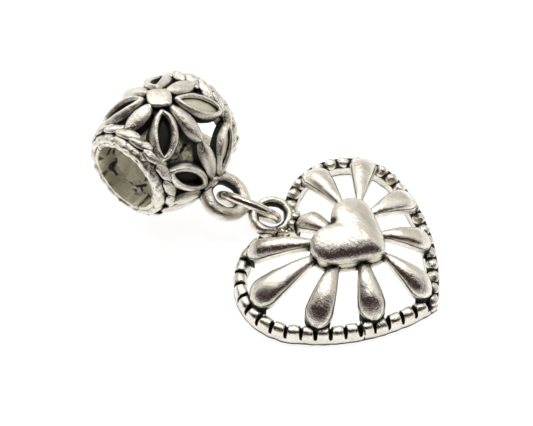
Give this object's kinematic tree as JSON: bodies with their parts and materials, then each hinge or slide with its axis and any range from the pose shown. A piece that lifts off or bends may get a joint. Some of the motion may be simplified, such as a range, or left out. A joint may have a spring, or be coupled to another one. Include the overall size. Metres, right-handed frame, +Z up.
{
  "type": "heart pendant",
  "caption": "Domed openwork heart with a beaded rim and a puffed heart in its middle, joined by a jump ring to the side loop of a flowered openwork bail bead.",
  "frame": {"origin": "middle of the footprint on the floor, as the object lies face up", "axes": "+X from the bail bead to the heart's tip, +Y across the heart, +Z up"},
  "size_m": [0.0262, 0.0156, 0.009],
  "materials": {
    "heart_silver": "antiqued silver-tone plating on cast alloy, bright on the domes and near black in the notches",
    "ring_silver": "bright silver-tone plated wire",
    "bead_silver": "antiqued silver-tone plating on cast alloy, near black between the petals"
  },
  "bodies": {
    "root": {"heart_pendant": "heart_silver", "jump_ring": "ring_silver", "bail_bead": "bead_silver"}
  },
  "joints": []
}
